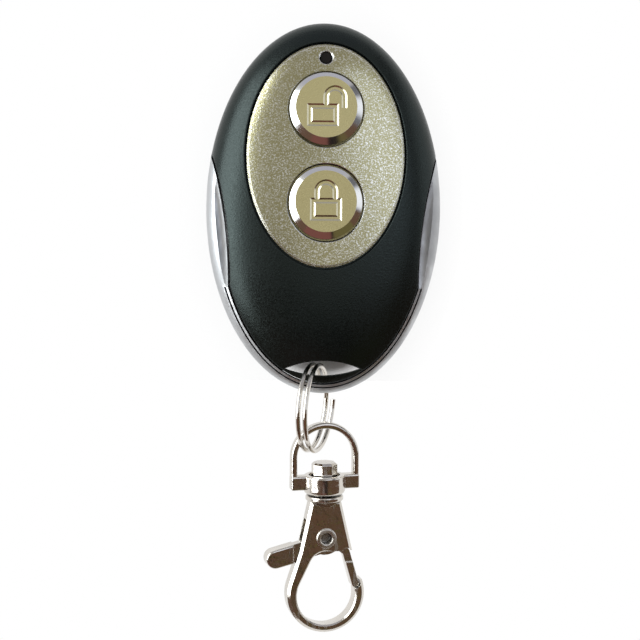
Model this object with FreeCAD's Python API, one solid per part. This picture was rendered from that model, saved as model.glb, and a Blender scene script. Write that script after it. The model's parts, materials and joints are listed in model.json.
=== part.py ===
import FreeCAD, Part
import math
import os

Vector = FreeCAD.Vector
Rotation = FreeCAD.Rotation
Placement = FreeCAD.Placement

# Frame: millimetres, the case lies on its back. +Z is out of the front face,
# +Y points to the lamp end, -Y to the keyring end, +X to the right of the front.
# The origin is the middle of the flat back face.

# Case
case_width = 39.4
case_length = 62.2
case_height = 14.0
girth_height = 6.8
base_width = 22.0
base_cut = 0.4
wall = 1.5
seam_height = 6.0
seam_gap = 0.1
lip = 0.3

# Silver band, seen from the front: the rim round the ring end and the side grips
rim_width = 2.05
rim_end_width = 1.7
bead_gap = 0.3
bead_width = 0.35
bead_groove = 0.25
bead_gap_depth = 1.2
bead_groove_depth = 0.5
grip_top_y = 9.0
grip_middle_y = -3.5
grip_bottom_y = -12.9
grip_middle_depth = 3.3
grip_bottom_depth = 2.2
grip_notch = 0.5
band_floor = 4.4
band_rise_y = -6.0
band_tip_height = 6.9
band_drop = 2.4
band_gap = 0.06
band_reach = 1.5
band_bend = 1.0
band_sag = 0.35
scoop_radius = 2.0
scoop_offset = 0.95
scoop_height = 10.9

# Crescent slot behind the keyring bar
slot_lip = 1.3
slot_lip_drop = 0.6
slot_half_width = 6.5
slot_reach = 5.5
slot_radius = 15.5
slot_flare = 2.5

# Faceplate
plate_side_margin = 6.5
plate_end_margin = 3.74
plate_low_margin = 21.06
plate_thickness = 1.0
plate_edge = 0.28
plate_edge_drop = 0.2
plate_groove = 0.38
glue_gap = 0.1
floor_thickness = 1.2
backing_margin = 1.2

# Buttons
button_rise = 7.79
button_drop = 7.9
button_radius = 6.1
button_face_radius = 5.15
button_face_shift = 0.25
button_clearance = 0.28
hole_bevel = 0.18
hole_drop = 0.16
button_wall_height = 0.15
button_height = 0.65
button_travel = 0.35
flange_radius = 6.9
flange_top = -1.55
flange_thickness = 0.5
pocket_clearance = 0.25
dish_floor = 0.85
dish_wall = 1.0
stem_radius = 1.4
stem_clearance = 0.7
stem_lift = 0.2
flange_room = 0.2
icon_depth = 0.16
icon_stroke = 0.93
icon_slope = 0.27
icon_body_width = 5.3
icon_body_height = 3.8
icon_body_top = 0.55
icon_shackle_radius = 2.0
icon_shackle_lift = 1.08
icon_over = 0.1
icon_open_shift = -0.6
icon_open_shackle_x = 1.45
icon_open_leg = -0.17

# Lamp
lamp_margin = 2.26
lamp_hole_radius = 1.0
lamp_bevel = 0.25
pipe_radius = 0.88
pipe_recess = 0.7
lamp_length = 2.0
lamp_width = 1.25
lamp_height = 0.8
lamp_gap = 0.1

# Circuit board
board_side_margin = 4.7
board_end_margin = 3.9
board_depth = 9.2
board_thickness = 1.2
board_edge_y = -3.3
board_post_radius = 1.6
board_post_y = 2.0
board_notch_gap = 0.2

# Switches under the buttons
switch_size = 6.0
switch_height = 3.2
plunger_radius = 1.7
plunger_clearance = 0.1
plunger_height = 0.7
plunger_depth = 0.3
plunger_room = 0.15
foot_out = 0.8
foot_wide = 0.7
foot_thick = 0.3
foot_spread = 2.2

# Small parts on the board
chip_length = 5.2
chip_width = 3.9
chip_height = 1.5
chip_margin = 5.8
chip_y = 8.8
chip_leg_count = 4
chip_leg_pitch = 1.27
chip_leg_out = 1.0
chip_leg_width = 0.4
leg_thickness = 0.2
chip_lift = 0.1
resonator_radius = 4.2
resonator_height = 3.0
resonator_brim = 0.4
resonator_margin = 5.8
resonator_y = 8.6
transistor_margin = 6.6
transistor_y = 0.9
transistor_length = 2.9
transistor_width = 1.3
transistor_height = 1.1
transistor_leg_pitch = 0.95
transistor_leg_width = 0.4
transistor_leg_out = 0.6
passive_length = 1.6
passive_width = 0.8
passive_height = 0.7
passive_pitch = 2.2
passive_x = 2.3
passive_count = 3
trace_width = 0.6
trace_height = 0.1
trace_margin = 0.35
trace_reach = 13.7

# Cell and its contacts
cell_radius = 3.85
cell_end_room = 5.7
cell_nub_radius = 1.6
cell_nub_length = 0.8
cell_y = -8.0
cell_gap = 0.05
cell_lift = 0.2
cell_clearance = 0.1
contact_thickness = 0.3
contact_height = 6.2
contact_width = 6.6
contact_tab = 1.7
contact_arm_height = 1.2
contact_gap = 0.1
cradle_x = 8.0
cradle_thickness = 1.2
cradle_side = 0.75
pad_length = 10.0
pad_width = 4.0
pad_shift = 1.4
pad_gap = 0.1
pad_top_gap = 0.55

# Screws
screw_side_margin = 9.9
screw_top_margin = 12.6
screw_low_margin = 11.6
screw_radius = 1.0
screw_head_radius = 1.9
screw_head_height = 1.2
screw_length = 6.0
screw_recess_depth = 2.3
screw_clearance = 0.15
pilot_clearance = 0.02
pilot_depth = 0.3
post_radius = 2.7
driver_slot_length = 2.4
driver_slot_width = 0.5
driver_slot_depth = 0.6

# Split ring
ring_radius = 7.2
ring_wire = 0.8
ring_pitch = 1.23
ring_turns = 2
ring_centre_x = -1.25
ring_slot_gap = 0.42
ring_lean = 19.0
ring_yaw = 5.5
ring_start = 310.0
ring_open = 33.0
ring_check_step = 5

# Swivel bow and pin, measured from where the bow hangs on the split ring
clasp_x = 0.5
clasp_yaw = 0.9
bow_inner_half_width = 4.8
bow_width = 1.05
bow_depth = 1.8
bow_edge = 0.4
bow_apex = 4.9
bow_base_top = -4.1
wing_height = 2.4
wing_depth = 2.1
wing_edge = 0.3
barrel_radius = 3.5
barrel_height = 3.2
barrel_edge = 0.3
barrel_round = 0.7
well_radius = 2.65
well_depth = 1.0
pin_radius = 1.25
pin_fit = 0.08
pin_head_radius = 2.2
pin_head_height = 2.9
pin_head_sides = 8
pin_head_edge = 0.35
pin_root = 0.1
swivel_gap = 0.25

# Hook
flange_width = 6.4
flange_height = 0.9
flange_round = 0.3
neck_cone_height = 0.9
neck_half_width = 2.6
neck_wall = 0.5
shoulder_half_width = 4.55
shoulder_y = -17.1
hook_depth = 3.2
hook_edge = 0.45
hook_inner_edge = 0.22
hook_centre_y = -24.45
hook_radius = 6.65
hook_stroke = 1.6
opening_drop = 0.3
opening_top_y = -17.05
opening_top_radius = 3.0
nose_y = -22.2
gate_slot = 1.9
gate_slot_top = -11.6
gate_slot_end = -18.9
rivet_y = -14.8
rivet_radius = 1.25
rivet_bore = 0.95
rivet_flange_radius = 1.75
rivet_flange_height = 0.3
rivet_rim_round = 0.24
rivet_mouth_round = 0.21
rivet_web = 0.8

# Gate and thumb lever
gate_thickness = 1.7
gate_fit = 0.05
hub_radius = 3.0
thumb_x = -8.65
thumb_y = -18.1
thumb_radius = 1.6
arm_radius = 1.5
thumb_thickness = 2.9
thumb_start_x = -5.5
thumb_edge = 0.35
gate_root_x = 3.6
gate_root_y = -17.4
gate_tip_x = 5.15
gate_tip_y = -22.95
gate_bar_width = 1.25
gate_bar_thickness = 2.5
gate_bar_start_y = -19.2
gate_clearance = 0.15
gate_sweep_steps = 3
gate_sweep_angle = 5.0
spring_radius = 1.75
spring_wire = 0.3
spring_lift = 0.1
spring_leg = 1.0
spring_sweep = 220.0
spring_pocket_radius = 2.4
spring_pocket_floor = 0.1
hook_roll = 10.0
hook_rest_angle = 56.0

# Worked out from the sizes above
half_width = case_width / 2
half_length = case_length / 2
crown = case_height - girth_height
band_top = case_height - band_drop
far = case_length
touch = 0.001
slot_apex_y = slot_reach - half_length
plate_width = case_width - 2 * plate_side_margin
plate_length = case_length - plate_end_margin - plate_low_margin
plate_centre_y = half_length - plate_end_margin - plate_length / 2
unlock_y = plate_centre_y + button_rise
lock_y = plate_centre_y - button_drop
lamp_y = plate_centre_y + plate_length / 2 - lamp_margin
board_width = case_width - 2 * board_side_margin
board_length = case_length - 2 * board_end_margin
board_bottom = case_height - board_depth
board_top = board_bottom + board_thickness
chip_x = chip_margin - board_width / 2
resonator_x = board_width / 2 - resonator_margin
transistor_x = board_width / 2 - transistor_margin
cell_length = case_width - 2 * cell_end_room
switch_top = board_top + switch_height
plunger_top = switch_top + plunger_height
cell_z = wall + cell_lift + cell_radius
grip_x = half_width * math.sqrt(1 - (grip_top_y / half_length) ** 2)
screw_x = half_width - screw_side_margin
screw_top = half_length - screw_top_margin
screw_places = [(-screw_x, screw_top), (screw_x, screw_top), (0.0, screw_low_margin - half_length)]
ring_outer = ring_radius + ring_wire / 2
lean = math.radians(ring_lean)
ring_turned = Rotation(Vector(0, 0, 1), -ring_yaw)
ring_axis = ring_turned.multVec(Vector(math.cos(lean), 0, math.sin(lean)))
ring_up = ring_turned.multVec(Vector(-math.sin(lean), 0, math.cos(lean)))
ring_along = ring_turned.multVec(Vector(0, 1, 0))
ring_y = slot_apex_y - ring_slot_gap - ring_outer * ring_along.y
ring_z = ring_radius * math.cos(lean) + ring_pitch * ring_turns / 4 * math.sin(lean) + ring_wire / 2
ring_centre = Vector(ring_centre_x, ring_y, ring_z)


def box(low, high):
    """Box between two corners, each given as (x, y, z)."""
    size = [high[i] - low[i] for i in range(3)]
    return Part.makeBox(size[0], size[1], size[2], Vector(*low))


def centred_box(centre, size):
    """Box of a size about its centre."""
    low = [centre[i] - size[i] / 2 for i in range(3)]
    high = [centre[i] + size[i] / 2 for i in range(3)]
    return box(low, high)


def post(x, y, low, high, radius):
    """Upright cylinder between two heights."""
    return Part.makeCylinder(radius, high - low, Vector(x, y, low))


def oval(half_x, half_y, centre_y=0.0):
    """Closed elliptical wire in the XY plane, longer along Y."""
    centre = Vector(0, centre_y, 0)
    end = Vector(0, centre_y + half_y, 0)
    side = Vector(half_x, centre_y, 0)
    return Part.Wire(Part.Ellipse(end, side, centre).toShape())


def prism(wire, low, high):
    """Upright prism on a flat closed wire."""
    face = Part.Face(wire)
    face.translate(Vector(0, 0, low))
    return face.extrude(Vector(0, 0, high - low))


def line(start, end):
    """Straight edge."""
    return Part.LineSegment(start, end).toShape()


def arc(start, middle, end):
    """Round edge through three points."""
    return Part.Arc(start, middle, end).toShape()


def conic(start, corner, end):
    """Parabolic edge that leaves along start-corner and arrives along corner-end."""
    curve = Part.BezierCurve()
    curve.setPoles([start, corner, end])
    return curve.toShape()


def pebble(inset=0.0, top=case_height):
    """Oval pebble: flat foot, full belly and soft dome, all walls moved in by inset."""
    wide = half_width - inset
    foot = base_width / 2 - inset
    low = inset - base_cut
    high = top - inset
    profile = Part.Wire([
        line(Vector(0, 0, low), Vector(foot, 0, low)),
        conic(Vector(foot, 0, low), Vector(wide, 0, low), Vector(wide, 0, girth_height)),
        conic(Vector(wide, 0, girth_height), Vector(wide, 0, high), Vector(0, 0, high)),
        line(Vector(0, 0, high), Vector(0, 0, low)),
    ])
    solid = Part.Face(profile).revolve(Vector(0, 0, 0), Vector(0, 0, 1), 360)
    stretch = FreeCAD.Matrix()
    stretch.scale(1, (half_length - inset) / wide, 1)
    return solid.transformGeometry(stretch)


def dome_height(x, y):
    """Height of the front surface above a point of the plan."""
    reach = math.sqrt((x / half_width) ** 2 + (y / half_length) ** 2)
    step = math.sqrt(1 - reach)
    return girth_height + crown * (2 * step - step ** 2)


def dome_tilt(y):
    """Slope of the front surface along Y on the middle line, in degrees."""
    reach = abs(y) / half_length
    slope = crown / half_length * (1 / math.sqrt(1 - reach) - 1)
    return math.degrees(math.atan(math.copysign(slope, y)))


def on_dome(y):
    """Placement that stands on the front surface at y, its Z along the normal."""
    return Placement(Vector(0, y, dome_height(0, y)), Rotation(Vector(1, 0, 0), -dome_tilt(y)))


def placed(shape, placement):
    """Copy of a shape moved to a placement."""
    copy = shape.copy()
    copy.Placement = placement.multiply(copy.Placement)
    return copy


def grip_points(inset):
    """Top, middle and bottom points of the right grip line, moved inwards by inset."""
    middle_edge = half_width * math.sqrt(1 - (grip_middle_y / half_length) ** 2)
    bottom_edge = half_width * math.sqrt(1 - (grip_bottom_y / half_length) ** 2)
    top = Vector(grip_x - inset, grip_top_y, 0)
    middle = Vector(middle_edge - grip_middle_depth - inset, grip_middle_y, 0)
    bottom = Vector(bottom_edge - grip_bottom_depth - inset, grip_bottom_y, 0)
    return top, middle, bottom


def lid_plan(inset=0.0):
    """Plan of the black front shell inside the silver band, open past the lamp end."""
    half_x = half_width - rim_width - inset
    half_y = half_length - rim_end_width - inset
    top, middle, bottom = grip_points(inset)
    rim_y = grip_bottom_y - grip_notch
    rim_x = half_x * math.sqrt(1 - (rim_y / half_y) ** 2)
    start = math.atan2(rim_x / half_x, rim_y / half_y)
    ellipse = Part.Ellipse(Vector(0, half_y, 0), Vector(half_x, 0, 0), Vector(0, 0, 0))
    rim = Part.ArcOfEllipse(ellipse, start, 2 * math.pi - start).toShape()
    edges = [rim]
    for side in (1, -1):
        grip = [Vector(side * p.x, p.y, 0) for p in (top, middle, bottom)]
        out = Vector(side * far, grip_top_y, 0)
        edges.append(arc(grip[0], grip[1], grip[2]))
        edges.append(line(grip[2], Vector(side * rim_x, rim_y, 0)))
        edges.append(line(out, grip[0]))
        edges.append(line(out, Vector(side * far, far, 0)))
    edges.append(line(Vector(-far, far, 0), Vector(far, far, 0)))
    return Part.Wire(Part.__sortEdges__(edges))


def lid_prism(inset=0.0):
    """Everything inside the line of the front shell, at all heights."""
    return prism(lid_plan(inset), -far, far)


def band_zone(gap=0.0):
    """Space of the silver band: outside the front shell's line and above its floor."""
    low = band_floor + gap
    tip = band_tip_height + gap
    back = Vector(0, -far, low)
    rise = Vector(0, band_rise_y, low)
    turn = Vector(0, (band_rise_y + grip_top_y) / 2 + band_bend, low + (tip - low) * band_sag)
    end = Vector(0, grip_top_y + band_reach, tip)
    top = Vector(0, grip_top_y + band_reach, far)
    corner = Vector(0, -far, far)
    profile = Part.Wire([
        line(back, rise), arc(rise, turn, end), line(end, top), line(top, corner), line(corner, back),
    ])
    side = Part.Face(profile)
    side.translate(Vector(-far, 0, 0))
    return side.extrude(Vector(2 * far, 0, 0)).cut(lid_prism(-gap))


def slot_notch(grow=0.0):
    """Everything at the ring end that lies beyond the slot's arc, between its two ends."""
    half = slot_half_width + grow
    centre_y = slot_apex_y - slot_radius
    radius = slot_radius + grow
    end_y = centre_y + math.sqrt(radius ** 2 - half ** 2)
    left = Vector(-half, end_y, 0)
    right = Vector(half, end_y, 0)
    outline = Part.Wire([
        arc(left, Vector(0, centre_y + radius, 0), right),
        line(right, Vector(half, -far, 0)),
        line(Vector(half, -far, 0), Vector(-half, -far, 0)),
        line(Vector(-half, -far, 0), left),
    ])
    return prism(outline, -far, far)


def slot_gap():
    """Crescent slot through both shells, over a lip that thins to its sides, and the notch below."""
    notch = slot_notch()
    inside = oval(half_width + slot_flare, half_length - rim_end_width - slot_lip)
    crescent = notch.common(prism(inside, -far, far))
    return crescent.fuse(notch.common(box((-far, -far, -far), (far, far, seam_height))))


def cavity():
    """Hollow of the case: case walls, thick floor under the faceplate, wall at the slot."""
    backing = prism(plate_oval(backing_margin), seam_height, far)
    floor = plate_thickness + glue_gap + floor_thickness
    hollow = pebble(wall).cut(backing).fuse(pebble(floor))
    hollow = hollow.common(box((-far, -far, wall), (far, far, far)))
    return hollow.common(lid_prism(wall - lip)).cut(slot_notch(wall - lip))


def plate_oval(grow=0.0):
    """Outline of the faceplate, grown by an amount."""
    return oval(plate_width / 2 + grow, plate_length / 2 + grow, plate_centre_y)


def button_cylinder(radius, low, high):
    """Cylinder about a button's own axis, heights from the front surface."""
    return Part.makeCylinder(radius, high - low, Vector(0, 0, low))


def dish(y):
    """Thick round seat under a button, kept below the faceplate."""
    low = flange_top - flange_thickness - button_travel - dish_floor
    seat = placed(button_cylinder(flange_radius + dish_wall, low, -plate_thickness), on_dome(y))
    return seat.common(pebble(plate_thickness + glue_gap))


def dish_cuts(y):
    """Flange pocket and stem hole in the seat of a button."""
    radius = flange_radius + pocket_clearance
    low = flange_top - flange_thickness - button_travel - flange_room
    pocket = button_cylinder(radius, low, case_height)
    hole = button_cylinder(stem_radius + stem_clearance, -case_height, case_height)
    return placed(pocket.fuse(hole), on_dome(y))


def screw_post(place, low, high, radius):
    """Round post for a screw."""
    return post(place[0], place[1], low, high, radius)


def front_shell():
    """Black front shell: dome, recess for the plate, seats, lamp hole and screw posts."""
    outer = pebble().common(box((-far, -far, seam_height), (far, far, far)))
    shell = outer.cut(band_zone()).cut(slot_gap()).cut(cavity())
    shell = shell.cut(slot_notch().cut(pebble(slot_lip_drop)))
    inner = cavity().common(box((-far, -far, seam_height), (far, far, far)))
    for place in screw_places:
        shell = shell.fuse(screw_post(place, seam_height, case_height, post_radius).common(inner))
    for y in (unlock_y, lock_y):
        shell = shell.fuse(dish(y).common(outer))
    recess = prism(plate_oval(plate_groove), seam_height, far).cut(pebble(plate_thickness + glue_gap))
    shell = shell.cut(recess)
    for y in (unlock_y, lock_y):
        shell = shell.cut(dish_cuts(y))
    shell = shell.cut(post(0, lamp_y, board_top, far, lamp_hole_radius + glue_gap))
    for place in screw_places:
        top = screw_recess_depth + screw_length
        shell = shell.cut(screw_post(place, 0, top + pilot_depth, screw_radius + pilot_clearance))
    return shell


def rear_shell():
    """Black rear shell: belly, screw recesses, board posts and the cradle of the cell."""
    outer = pebble().common(box((-far, -far, 0), (far, far, seam_height - seam_gap)))
    shell = outer.cut(band_zone()).cut(slot_gap()).cut(cavity())
    inner = cavity().common(box((-far, -far, 0), (far, far, seam_height - seam_gap)))
    for place in screw_places:
        shell = shell.fuse(screw_post(place, 0, seam_height - seam_gap, post_radius).common(outer))
    for x in (-cradle_x, cradle_x):
        size = (cradle_thickness, 2 * (cell_radius + cradle_side), 2 * cell_z)
        shell = shell.fuse(centred_box((x, cell_y, 0), size).common(inner))
    for x in (-board_post_x(), board_post_x()):
        shell = shell.fuse(post(x, board_post_y, 0, board_bottom, board_post_radius).common(inner))
    shell = shell.cut(cell_envelope(cell_clearance))
    for place in screw_places:
        hole = screw_post(place, 0, seam_height, screw_radius + screw_clearance)
        recess = screw_post(place, -wall, screw_recess_depth, screw_head_radius + screw_clearance)
        shell = shell.cut(hole).cut(recess)
    return shell


def board_post_x():
    """Place of the two posts that carry the lower corners of the board."""
    return board_width / 2 - 2 * board_post_radius


def cell_envelope(gap):
    """Cylinder round the cell with a gap."""
    length = cell_length + 2 * gap
    return Part.makeCylinder(cell_radius + gap, length, Vector(-length / 2, cell_y, cell_z), Vector(1, 0, 0))


def grip_scoop():
    """Long hollow ground along each side grip, pointed at the shoulder."""
    top, middle, bottom = grip_points(0)
    grip = arc(top, middle, bottom).Curve
    centre = grip.Center
    radius = grip.Radius
    reach = Part.makeTorus(radius - scoop_offset, scoop_radius, Vector(centre.x, centre.y, scoop_height))
    end = grip_bottom_y - grip_notch
    right = reach.common(box((0, end, -far), (far, grip_top_y + 2 * band_reach, far)))
    return right, right.mirror(Vector(0, 0, 0), Vector(1, 0, 0))


def band_groove(start, end, depth):
    """Upright groove that follows the front shell, between two distances from its line."""
    ring = lid_prism(-end).cut(lid_prism(-start))
    return ring.cut(pebble(depth, band_top))


def trim_band():
    """Silver band: both side grips and the keyring bar in one piece, with a bead along its line."""
    band = pebble(0.0, band_top).common(band_zone(band_gap))
    for scoop in grip_scoop():
        band = band.cut(scoop)
    band = band.cut(band_groove(0, bead_gap, bead_gap_depth))
    bead_end = bead_gap + bead_width
    groove = band_groove(bead_end, bead_end + bead_groove, bead_groove_depth)
    rim_end = grip_bottom_y - grip_notch
    return band.cut(groove.common(box((-far, -far, 0), (far, rim_end, far))))


def faceplate():
    """Domed oval plate with a lowered edge line, two button holes and the lamp hole."""
    plate = prism(plate_oval(), seam_height, far).common(pebble())
    plate = plate.cut(pebble(plate_thickness))
    rim = prism(plate_oval(), seam_height, far).cut(prism(plate_oval(-plate_edge), seam_height, far))
    plate = plate.cut(rim.cut(pebble(plate_edge_drop)))
    for y in (unlock_y, lock_y):
        hole_radius = button_radius + button_clearance
        hole = button_cylinder(hole_radius, -case_height, case_height)
        reach = hole_radius + hole_bevel
        rim = Part.makeCone(0, 2 * reach, 2 * reach, Vector(0, 0, -reach - hole_drop))
        plate = plate.cut(placed(hole.fuse(rim), on_dome(y)))
    plate = plate.cut(post(0, lamp_y, seam_height, far, lamp_hole_radius))
    reach = lamp_hole_radius + lamp_bevel
    bevel = Part.makeCone(0, 2 * reach, 2 * reach, Vector(0, 0, -reach))
    return plate.cut(placed(bevel, on_dome(lamp_y)))


def icon_section(middle):
    """Section of an icon's engraved stroke about a distance from the axis, in the XZ plane."""
    edge = icon_stroke / 2
    floor = edge - icon_slope
    corners = [Vector(middle - edge, 0, icon_over), Vector(middle + edge, 0, icon_over),
               Vector(middle + edge, 0, 0), Vector(middle + floor, 0, -icon_depth),
               Vector(middle - floor, 0, -icon_depth), Vector(middle - edge, 0, 0)]
    return Part.Face(Part.makePolygon(corners + corners[:1]))


def icon_leg(x, low, high):
    """Straight upright stroke of the shackle."""
    leg = icon_section(x).extrude(Vector(0, high - low, 0))
    leg.translate(Vector(0, low, 0))
    return leg


def icon_block(x, width, height, shrink):
    """Rectangular block about the icon's body, each side drawn in by an amount at the engraved floor."""
    middle_y = icon_body_top - icon_body_height / 2
    levels = []
    for level, inset in ((icon_over, 0.0), (0.0, 0.0), (-icon_depth, shrink)):
        half_x = width / 2 - inset
        half_y = height / 2 - inset
        corners = [Vector(x + sx * half_x, middle_y + sy * half_y, level)
                   for sx, sy in ((-1, -1), (1, -1), (1, 1), (-1, 1))]
        levels.append(Part.makePolygon(corners + corners[:1]))
    upper = Part.makeLoft(levels[:2], True, True)
    return upper.fuse(Part.makeLoft(levels[1:], True, True))


def padlock_icon(body_x, shackle_x, right_leg):
    """Engraved padlock outline: body rectangle, shackle arch and its two legs."""
    icon = icon_block(body_x, icon_body_width, icon_body_height, icon_slope)
    inner = 2 * icon_stroke
    icon = icon.cut(icon_block(body_x, icon_body_width - inner, icon_body_height - inner, -icon_slope))
    radius = icon_shackle_radius - icon_stroke / 2
    foot_y = icon_body_top - icon_stroke / 2
    turn_y = icon_body_top + icon_shackle_lift
    arch = icon_section(radius).revolve(Vector(0, 0, 0), Vector(0, 0, 1), 180)
    arch.translate(Vector(shackle_x, turn_y, 0))
    icon = icon.fuse(arch).fuse(icon_leg(shackle_x - radius, foot_y, turn_y))
    return icon.fuse(icon_leg(shackle_x + radius, right_leg, turn_y))


def button(y, icon):
    """Round cap with flange and stem, a bevel that is wider below, made upright and set on the dome."""
    stem_low = (plunger_top + stem_lift) - dome_height(0, y)
    flange_low = flange_top - flange_thickness
    profile = Part.Wire([
        line(Vector(0, 0, stem_low), Vector(stem_radius, 0, stem_low)),
        line(Vector(stem_radius, 0, stem_low), Vector(stem_radius, 0, flange_low)),
        line(Vector(stem_radius, 0, flange_low), Vector(flange_radius, 0, flange_low)),
        line(Vector(flange_radius, 0, flange_low), Vector(flange_radius, 0, flange_top)),
        line(Vector(flange_radius, 0, flange_top), Vector(button_radius, 0, flange_top)),
        line(Vector(button_radius, 0, flange_top), Vector(button_radius, 0, button_wall_height)),
        line(Vector(button_radius, 0, button_wall_height), Vector(0, 0, button_wall_height)),
        line(Vector(0, 0, button_wall_height), Vector(0, 0, stem_low)),
    ])
    cap = Part.Face(profile).revolve(Vector(0, 0, 0), Vector(0, 0, 1), 360)
    foot = Part.Circle(Vector(0, 0, button_wall_height), Vector(0, 0, 1), button_radius)
    face_centre = Vector(0, button_face_shift, button_height)
    face = Part.Circle(face_centre, Vector(0, 0, 1), button_face_radius)
    bevel = Part.makeLoft([Part.Wire(foot.toShape()), Part.Wire(face.toShape())], True, True)
    icon.translate(face_centre)
    return placed(cap.fuse(bevel).removeSplitter().cut(icon), on_dome(y))


def board_plan(shrink=0.0):
    """Oval outline of the board, drawn in by an amount."""
    return oval(board_width / 2 - shrink, board_length / 2 - shrink)


def circuit_board():
    """Board over the upper part of the case, notched round the screw posts."""
    board = prism(board_plan(), board_bottom, board_top)
    board = board.cut(box((-far, -far, 0), (far, board_edge_y, far)))
    for place in screw_places:
        board = board.cut(screw_post(place, 0, far, post_radius + board_notch_gap))
    return board


def switch_body(y):
    """Square switch housing with a round well and four feet."""
    middle = (board_top + switch_top) / 2
    body = centred_box((0, y, middle), (switch_size, switch_size, switch_height))
    well_low = switch_top - plunger_depth - button_travel - plunger_room
    body = body.cut(post(0, y, well_low, far, plunger_radius + plunger_clearance))
    for side_x in (-1, 1):
        for side_y in (-1, 1):
            x = side_x * (switch_size + foot_out) / 2
            foot = (x, y + side_y * foot_spread, board_top + foot_thick / 2)
            body = body.fuse(centred_box(foot, (foot_out, foot_wide, foot_thick)))
    return body


def switch_plunger(y):
    """Round plunger in the switch's well."""
    return post(0, y, switch_top - plunger_depth, plunger_top, plunger_radius)


def encoder_chip():
    """Coder chip with two rows of legs."""
    middle = board_top + chip_height / 2 + chip_lift
    chip = centred_box((chip_x, chip_y, middle), (chip_width, chip_length, chip_height))
    for index in range(chip_leg_count):
        y = chip_y + (index - (chip_leg_count - 1) / 2) * chip_leg_pitch
        size = (chip_width + 2 * chip_leg_out, chip_leg_width, leg_thickness)
        chip = chip.fuse(centred_box((chip_x, y, board_top + leg_thickness / 2), size))
    return chip


def saw_resonator():
    """Round metal can with a flat brim."""
    brim = post(resonator_x, resonator_y, board_top, board_top + resonator_brim, resonator_radius)
    can_radius = resonator_radius - resonator_brim
    return brim.fuse(post(resonator_x, resonator_y, board_top, board_top + resonator_height, can_radius))


def rf_transistor():
    """Small three-legged transistor."""
    size = (transistor_length, transistor_width, transistor_height)
    body = centred_box((transistor_x, transistor_y, board_top + transistor_height / 2), size)
    leg_size = (transistor_leg_width, 2 * transistor_leg_out, leg_thickness)
    for x, side in ((-transistor_leg_pitch, -1), (transistor_leg_pitch, -1), (0.0, 1)):
        y = transistor_y + side * (transistor_width / 2)
        body = body.fuse(centred_box((transistor_x + x, y, board_top + leg_thickness / 2), leg_size))
    return body


def passives(x, count):
    """Column of small chip parts between the two switches, as separate solids."""
    middle_y = (unlock_y + lock_y) / 2
    rows = []
    for index in range(count):
        y = middle_y + (index - (count - 1) / 2) * passive_pitch
        centre = (x, y, board_top + passive_height / 2)
        rows.append(centred_box(centre, (passive_length, passive_width, passive_height)))
    return Part.Compound(rows)


def antenna_trace():
    """Printed loop that follows the upper edge of the board."""
    outer = prism(board_plan(trace_margin), board_top, board_top + trace_height)
    inner = prism(board_plan(trace_margin + trace_width), 0, far)
    loop = outer.cut(inner).cut(box((-far, -far, 0), (far, board_length / 2 - trace_reach, far)))
    for place in screw_places:
        loop = loop.cut(screw_post(place, 0, far, post_radius + board_notch_gap))
    return max(loop.Solids, key=lambda solid: solid.Volume)


def battery():
    """Slim cell lying crosswise, with its nub to the right."""
    start = Vector(-cell_length / 2, cell_y, cell_z)
    can = Part.makeCylinder(cell_radius, cell_length - cell_nub_length, start, Vector(1, 0, 0))
    return can.fuse(Part.makeCylinder(cell_nub_radius, cell_length, start, Vector(1, 0, 0)))


def battery_contact(side):
    """Flat spring plate at one end of the cell, with a tab on the board."""
    near = cell_length / 2 + cell_gap
    out = near + contact_thickness
    back = cell_y - contact_width / 2
    front = board_edge_y + contact_tab
    low = cell_z - contact_height / 2
    plate = box((near, back, low), (out, board_edge_y - contact_gap, low + contact_height))
    arm = box((near, board_edge_y - 2 * contact_gap, board_top), (out, front, board_top + contact_arm_height))
    inner = near - contact_tab
    tab = box((inner, board_edge_y + contact_gap, board_top), (out, front, board_top + contact_thickness))
    blade = plate.fuse(arm).fuse(tab).removeSplitter()
    if side < 0:
        blade = blade.mirror(Vector(0, 0, 0), Vector(1, 0, 0))
    return blade


def battery_pad():
    """Foam pad between the cell and the front shell."""
    low = cell_z + cell_radius + pad_gap
    high = case_height - plate_thickness - glue_gap - floor_thickness - pad_top_gap
    middle = (0, cell_y - pad_shift, (low + high) / 2)
    return centred_box(middle, (pad_length, pad_width, high - low))


def case_screws():
    """Three self-tapping screws in the rear shell's recesses."""
    screws = []
    for x, y in screw_places:
        seat = screw_recess_depth
        head = post(x, y, seat - screw_head_height, seat, screw_head_radius)
        shank = post(x, y, seat, seat + screw_length, screw_radius)
        low = seat - screw_head_height
        depth = 2 * driver_slot_depth
        cross = centred_box((x, y, low), (driver_slot_length, driver_slot_width, depth))
        cross = cross.fuse(centred_box((x, y, low), (driver_slot_width, driver_slot_length, depth)))
        screws.append(head.fuse(shank).cut(cross).removeSplitter())
    return Part.Compound(screws)


def lamp_light_pipe():
    """Clear rod from the lamp up into the faceplate's hole."""
    low = board_top + lamp_height + lamp_gap
    return post(0, lamp_y, low, dome_height(0, lamp_y) - pipe_recess, pipe_radius)


def status_led():
    """Small lamp on the board."""
    centre = (0, lamp_y, board_top + lamp_height / 2)
    return centred_box(centre, (lamp_width, lamp_length, lamp_height))


def arc_from_tangent(start, tangent, end):
    """Round edge that leaves start along a tangent and ends at a point."""
    chord = end.sub(start)
    unit = Vector(chord).normalize()
    side = tangent.sub(unit * tangent.dot(unit))
    angle = math.acos(max(-1.0, min(1.0, tangent.dot(unit))))
    bulge = Vector(side).normalize() * (chord.Length / 2 * math.tan(angle / 2))
    return arc(start, start + chord * 0.5 + bulge, end)


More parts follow.
